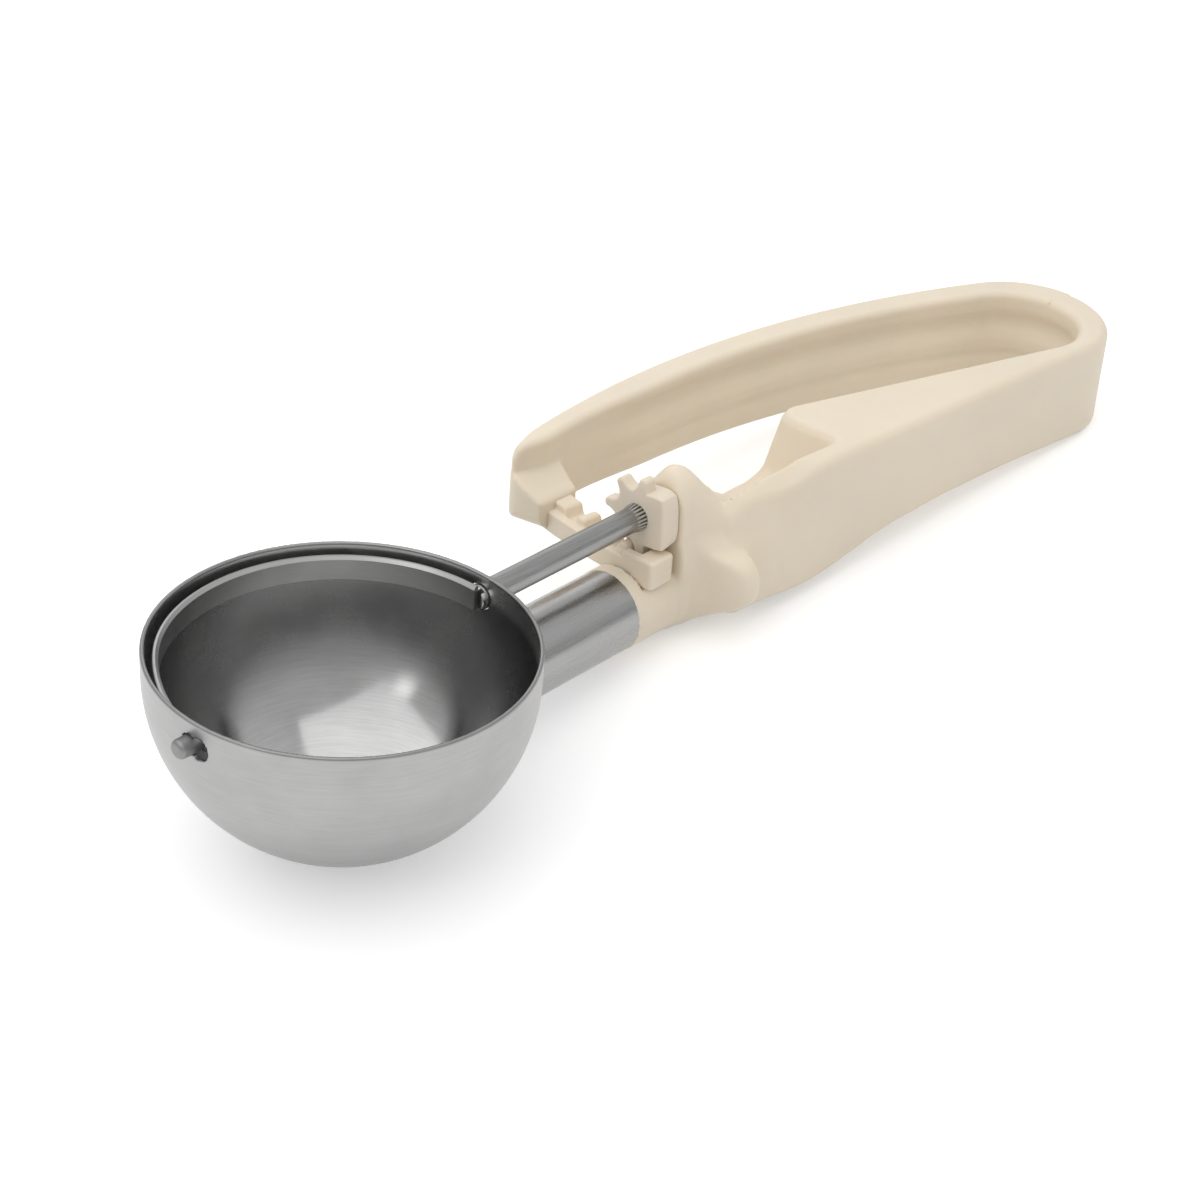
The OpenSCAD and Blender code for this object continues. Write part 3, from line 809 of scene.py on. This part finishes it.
class Nodes:
    """Short calls for building a material's nodes."""

    def __init__(self, name):
        self.material = bpy.data.materials.new(name)
        self.material.use_nodes = True
        self.tree = self.material.node_tree
        self.shader = self.tree.nodes["Principled BSDF"]

    def add(self, kind, **settings):
        """A new shader node with its settings."""
        node = self.tree.nodes.new("ShaderNode" + kind)
        for key, value in settings.items():
            setattr(node, key, value)
        return node

    def link(self, a, b):
        """Joins an output to an input."""
        self.tree.links.new(a, b)

    def places(self, scale=(1, 1, 1), location=(0, 0, 0)):
        """Object coordinates in mm in the rim frame, moved by location, then scaled."""
        coords = self.add("TexCoord")
        move = self.add("Mapping")
        move.inputs["Location"].default_value = tuple(-RIM / MM + np.array(location))
        move.inputs["Scale"].default_value = (1 / MM,) * 3
        self.link(coords.outputs["Object"], move.inputs["Vector"])
        stretch = self.add("Mapping")
        stretch.inputs["Scale"].default_value = scale
        self.link(move.outputs["Vector"], stretch.inputs["Vector"])
        return stretch.outputs["Vector"]

    def maths(self, operation, first, second=None):
        """Result of a maths node whose inputs are sockets or numbers."""
        node = self.add("Math", operation=operation)
        for socket, value in zip(node.inputs, (first, second)):
            if isinstance(value, (int, float)):
                socket.default_value = value
            elif value is not None:
                self.link(value, socket)
        return node.outputs[0]

    def noise(self, vector, scale, detail=3, rough=0.5):
        """Noise between 0 and 1, finer where the scale is larger."""
        node = self.add("TexNoise")
        node.inputs["Scale"].default_value = scale
        node.inputs["Detail"].default_value = detail
        node.inputs["Roughness"].default_value = rough
        self.link(vector, node.inputs["Vector"])
        return node.outputs["Fac"]

    def metal(self, tint, rough, shift):
        """Makes it a metal of a colour, with a shift added to its roughness."""
        self.link(tint, self.shader.inputs["Base Color"])
        self.link(self.maths("ADD", rough, shift), self.shader.inputs["Roughness"])
        self.shader.inputs["Metallic"].default_value = 1.0

    def spread(self, value, low, high, start=0.0, end=1.0):
        """Value mapped from start..end to low..high and held at both ends."""
        node = self.add("MapRange")
        for key, number in (("From Min", start), ("From Max", end), ("To Min", low), ("To Max", high)):
            node.inputs[key].default_value = number
        self.link(value, node.inputs["Value"])
        return node.outputs["Result"]

    def tints(self, value, *stops):
        """Colour of a value between stops of (place, colour)."""
        node = self.add("ValToRGB")
        ramp = node.color_ramp
        while len(ramp.elements) < len(stops):
            ramp.elements.new(0.5)
        for element, (place, colour) in zip(ramp.elements, stops):
            element.position = place
            element.color = (*colour, 1)
        self.link(value, node.inputs["Fac"])
        return node.outputs["Color"]

    def bump(self, height, strength, distance):
        """Bump from a height, with its distance in mm."""
        node = self.add("Bump")
        node.inputs["Strength"].default_value = strength
        node.inputs["Distance"].default_value = distance * MM
        self.link(height, node.inputs["Height"])
        self.link(node.outputs["Normal"], self.shader.inputs["Normal"])


IVORY, PINION_IVORY = (0.83, 0.735, 0.59), (0.79, 0.70, 0.57)


def shades(base, *stops):
    """Stops of (place, colour) from stops of (place, share of a base colour)."""
    return [(place, tuple(np.array(base) * share)) for place, share in stops]


def ivory_plastic(name, base, rough=0.42):
    """Moulded plastic with clouds in its tone, a fine grain and a little scattered light."""
    n = Nodes(name)
    vector = n.places()
    cloud = n.noise(vector, 0.045, 4)
    n.link(n.tints(cloud, *shades(base, (0.3, 0.965), (0.7, 1.02))), n.shader.inputs["Base Color"])
    grain = n.noise(vector, 1.6, 4, 0.6)
    n.link(n.spread(grain, rough - 0.06, rough + 0.08), n.shader.inputs["Roughness"])
    n.bump(grain, 0.18, 0.12)
    n.shader.inputs["Specular IOR Level"].default_value = 0.4
    n.shader.inputs["Subsurface Weight"].default_value = 0.3
    n.shader.inputs["Subsurface Radius"].default_value = (1.0, 0.6, 0.3)
    n.shader.inputs["Subsurface Scale"].default_value = 2 * MM
    return n.material


STEEL_TINT = np.array((1.0, 0.995, 0.99))
STREAK = 0.06
# Along X, where the knurl's painted ridge highlights and painted groove shade fade in
KNURL_FADE = (71.0, 72.6)


def knurl_of(name, tone, rough):
    """Knurled steel: painted highlights on the ridges and painted shade in the grooves between them,
    stronger towards the pinion, with a little random tone.
    """
    n = Nodes(name)
    split = n.add("SeparateXYZ")
    n.link(n.places(location=(0, 0, -AXIS_Z)), split.inputs[0])
    turn = n.maths("ARCTAN2", split.outputs["Z"], split.outputs["Y"])
    ridge = n.maths("COSINE", n.maths("MULTIPLY", turn, KNURLS))
    depth = n.maths("MULTIPLY", ridge, n.spread(split.outputs["X"], 0.0, 1.0, *KNURL_FADE))
    # Painted light and shade: bright on the ridges, dark in the grooves, plus a little random tone
    ridge_light_and_shade = n.maths("ADD", depth, n.spread(n.noise(n.places(), 1.2, 3), -0.3, 0.3))
    stops = shades(STEEL_TINT * tone, (0.1, 0.15), (0.45, 0.8), (0.9, 1.5))
    n.link(n.tints(n.spread(ridge_light_and_shade, 0.0, 1.0, -1.0, 1.0), *stops), n.shader.inputs["Base Color"])
    n.shader.inputs["Metallic"].default_value = 1.0
    n.shader.inputs["Roughness"].default_value = rough
    return n.material


def brushed_steel(name, scale, tone, rough, dark=0.93):
    """Steel with fine lines that run along the axis of the smallest scale."""
    n = Nodes(name)
    lines = n.noise(n.places(scale), 1.0, 4, 0.6)
    cloud = n.noise(n.places(), 0.12, 3)
    tint = n.tints(lines, *shades(STEEL_TINT * tone, (0.3, dark), (0.7, 1.05)))
    n.metal(tint, n.spread(lines, rough - STREAK, rough + STREAK, 0.25, 0.75),
            n.spread(cloud, -0.04, 0.04, 0.3, 0.7))
    n.bump(lines, 0.08, 0.04)
    return n.material


# Painted light and shade of the bowl's two sides as (height, share of the steel's tint): outside
# darker towards the bottom with painted shade on the rim; inside a painted reflection on the bottom,
# painted light on the band above the blade and painted shade on the rim
OUTSIDE_PAINTED_SHADE = [(-38.0, 0.26), (-30.0, 0.31), (-18.0, 0.41), (-0.6, 0.41), (-0.3, 0.30), (0.0, 0.30)]
INSIDE_PAINTED_LIGHT_AND_SHADE = [(-38.0, 0.48), (-31.0, 0.46), (-26.0, 0.35), (-21.0, 0.29), (-5.5, 0.29),
               (-3.5, 0.80), (-0.6, 0.80), (-0.3, 0.30), (0.0, 0.30)]
FAR = 100.0
BOWL_ROUGH, POLISHED_ROUGH, BOTTOM_ROUGH = 0.36, 0.26, 0.15


def bowl_steel_of(name):
    """Pressed cup: satin outside, polished inside, with painted light, shade and reflection that
    change with height.
    """
    n = Nodes(name)
    vector = n.places()
    split = n.add("SeparateXYZ")
    n.link(vector, split.inputs[0])
    height = n.spread(split.outputs["Z"], 0.0, 1.0, -BOWL_DEPTH, 0.0)
    below_axis = n.spread(split.outputs["Z"], -FAR, 0.0, AXIS_Z - FAR, AXIS_Z)
    from_middle = n.add("CombineXYZ")
    for axis, source in (("X", split.outputs["X"]), ("Y", split.outputs["Y"]), ("Z", below_axis)):
        n.link(source, from_middle.inputs[axis])
    length = n.add("VectorMath", operation="LENGTH")
    n.link(from_middle.outputs[0], length.inputs[0])
    middle = (BOWL_R + BOWL_IN) / 2
    is_inside = n.spread(length.outputs["Value"], 1.0, 0.0, middle - 0.1, middle + 0.1)
    # Painted light and shade of the outside and of the inside, chosen by side
    tone = n.add("Mix", data_type="RGBA")
    n.link(is_inside, tone.inputs[0])
    for socket, stops in ((6, OUTSIDE_PAINTED_SHADE), (7, INSIDE_PAINTED_LIGHT_AND_SHADE)):
        stops = shades(STEEL_TINT, *((1 + z / BOWL_DEPTH, share) for z, share in stops))
        n.link(n.tints(height, *stops), tone.inputs[socket])
    lines = n.noise(n.places((0.12, 0.12, 5.0)), 1.0, 3, 0.6)
    cloud = n.noise(vector, 0.10, 4, 0.6)
    shade = n.maths("MULTIPLY", n.spread(lines, 0.94, 1.06, 0.3, 0.7),
                    n.spread(cloud, 0.94, 1.06, 0.3, 0.7))
    colour = n.add("VectorMath", operation="SCALE")
    n.link(tone.outputs[2], colour.inputs[0])
    n.link(shade, colour.inputs["Scale"])
    polished = n.spread(height, BOTTOM_ROUGH, POLISHED_ROUGH, 0.3, 0.45)
    rough = n.add("Mix")
    n.link(is_inside, rough.inputs["Factor"])
    rough.inputs["A"].default_value = BOWL_ROUGH
    n.link(polished, rough.inputs["B"])
    n.metal(colour.outputs[0], rough.outputs["Result"], n.spread(cloud, -0.03, 0.03, 0.3, 0.7))
    n.bump(lines, 0.06, 0.03)
    return n.material


# ---------------------------------------------------------------- stage, light and camera

# The floor's height under the closed end, from where it falls away towards the bowl
FLOOR_X, FLOOR_Z, FLOOR_SLOPE = 205, -20.9, 0.0818
FLOOR_MIDDLE, FLOOR_SIZE = 80, 24000.0
FLOOR_LIFT = 0.36


def make_floor():
    """Wide pale floor under the bowl and the far end of the handle, tilted as the scoop rests."""
    sides = 2
    points, faces = [], []
    for i in range(sides + 1):
        for j in range(sides + 1):
            x = FLOOR_MIDDLE - FLOOR_SIZE / 2 + FLOOR_SIZE * i / sides
            y = -FLOOR_SIZE / 2 + FLOOR_SIZE * j / sides
            points.append((x, y, FLOOR_Z - (FLOOR_X - x) * FLOOR_SLOPE))
    for i in range(sides):
        for j in range(sides):
            a = i * (sides + 1) + j
            faces.append((a, a + sides + 1, a + sides + 2, a + 1))
    n = Nodes("floor_paper")
    n.shader.inputs["Base Color"].default_value = (0.86, 0.86, 0.86, 1)
    n.shader.inputs["Roughness"].default_value = 0.8
    n.shader.inputs["Specular IOR Level"].default_value = 0.1
    path = n.add("LightPath")
    seen = n.maths("MAXIMUM", path.outputs["Is Camera Ray"], path.outputs["Is Glossy Ray"])
    seen = n.maths("MAXIMUM", seen, path.outputs["Is Transmission Ray"])
    n.shader.inputs["Emission Color"].default_value = (1, 1, 1, 1)
    n.link(n.maths("MULTIPLY", seen, FLOOR_LIFT), n.shader.inputs["Emission Strength"])
    floor = add_object("floor", np.array(points), faces, n.material)


def area_light(name, location, target, size, energy):
    """A square or oblong light that faces a target."""
    light = bpy.data.lights.new(name, "AREA")
    light.shape = "RECTANGLE"
    light.size, light.size_y = size
    light.energy = energy
    obj = bpy.data.objects.new(name, light)
    obj.location = location
    obj.rotation_mode = "QUATERNION"
    obj.rotation_quaternion = (Vector(target) - Vector(location)).to_track_quat("-Z", "Y")
    bpy.context.scene.collection.objects.link(obj)


# Greys of the surroundings as (height share, grey), then the lamps
SKY = [(0.0, 0.45), (0.30, 0.85), (0.62, 1.15), (1.0, 0.85)]
SKY_STRENGTH = 0.78
LAMPS = [
    {"name": "key", "location": (-0.25, 0.10, 0.85), "target": (0.0, 0.0, 0.0), "size": (1.1, 1.1),
     "energy": 2.9},
    {"name": "spark", "location": (-0.75, 0.04, 0.50), "target": (-0.08, 0.0, 0.0),
     "size": (0.16, 0.16), "energy": 0.16},
    {"name": "back", "location": (0.5, 0.75, 0.45), "target": (0.0, 0.0, 0.0), "size": (0.5, 0.4),
     "energy": 0.4},
]


def make_light():
    """Grey surroundings that brighten with height, and the lamps."""
    world = bpy.data.worlds.new("studio")
    bpy.context.scene.world = world
    world.use_nodes = True
    tree = world.node_tree
    background = tree.nodes["Background"]
    coords = tree.nodes.new("ShaderNodeTexCoord")
    split = tree.nodes.new("ShaderNodeSeparateXYZ")
    tree.links.new(coords.outputs["Generated"], split.inputs[0])
    ramp = tree.nodes.new("ShaderNodeValToRGB")
    while len(ramp.color_ramp.elements) < len(SKY):
        ramp.color_ramp.elements.new(0.5)
    for element, (place, grey) in zip(ramp.color_ramp.elements, SKY):
        element.position = place
        element.color = (grey, grey, grey, 1)
    tree.links.new(split.outputs["Z"], ramp.inputs["Fac"])
    tree.links.new(ramp.outputs["Color"], background.inputs["Color"])
    background.inputs["Strength"].default_value = SKY_STRENGTH
    for lamp in LAMPS:
        area_light(**lamp)


# The photo's view: place in metres, and the directions of its picture
CAMERA_LENS, CAMERA_SENSOR = 76.87, 36
CAMERA_AT = (-0.332536, -0.257554, 0.265622)
CAMERA_RIGHT = (0.66695, -0.742572, 0.061365)
CAMERA_DOWN = (-0.355123, -0.389197, -0.849949)
CAMERA_AHEAD = (0.655031, 0.545081, -0.523279)


def make_camera():
    """The camera that the photo was taken with, as far as its picture tells."""
    data = bpy.data.cameras.new("camera")
    data.sensor_fit = "HORIZONTAL"
    data.sensor_width = CAMERA_SENSOR
    data.lens = CAMERA_LENS
    data.clip_start, data.clip_end = 0.01, 20
    camera = bpy.data.objects.new("camera", data)
    bpy.context.scene.collection.objects.link(camera)
    right, up, back = Vector(CAMERA_RIGHT), -Vector(CAMERA_DOWN), -Vector(CAMERA_AHEAD)
    camera.matrix_world = Matrix((right, up, back)).transposed().to_4x4()
    camera.location = CAMERA_AT
    bpy.context.scene.camera = camera


# ---------------------------------------------------------------- build

bpy.context.scene.view_settings.view_transform = "Standard"
make_camera()
make_light()
make_floor()
ivory = ivory_plastic("ivory_moulding", IVORY)
pinion_ivory = ivory_plastic("pinion_moulding", PINION_IVORY, rough=0.5)
bowl_steel = bowl_steel_of("bowl_pressed")
tube_steel = brushed_steel("tube_brushed", (0.1, 3.0, 3.0), tone=0.37, rough=0.27)
blade_steel = brushed_steel("blade_brushed", (0.2, 0.2, 6.0), tone=0.47, rough=0.36)
shaft_steel = brushed_steel("shaft_drawn", (0.15, 5.0, 5.0), tone=0.34, rough=0.32, dark=0.8)
head_steel = brushed_steel("head_turned", (0.5, 3.0, 3.0), tone=0.62, rough=0.22)
pin_steel = brushed_steel("pin_turned", (0.4, 0.4, 0.4), tone=0.30, rough=0.48)
knurl_steel = knurl_of("shaft_knurled", tone=0.42, rough=0.35)
make_moulding(ivory)
make_rack(ivory)
make_pinion(pinion_ivory)
make_bowl(bowl_steel)
make_tube(tube_steel)
make_blade(blade_steel)
make_shaft(shaft_steel, head_steel, knurl_steel)
make_pin(pin_steel)
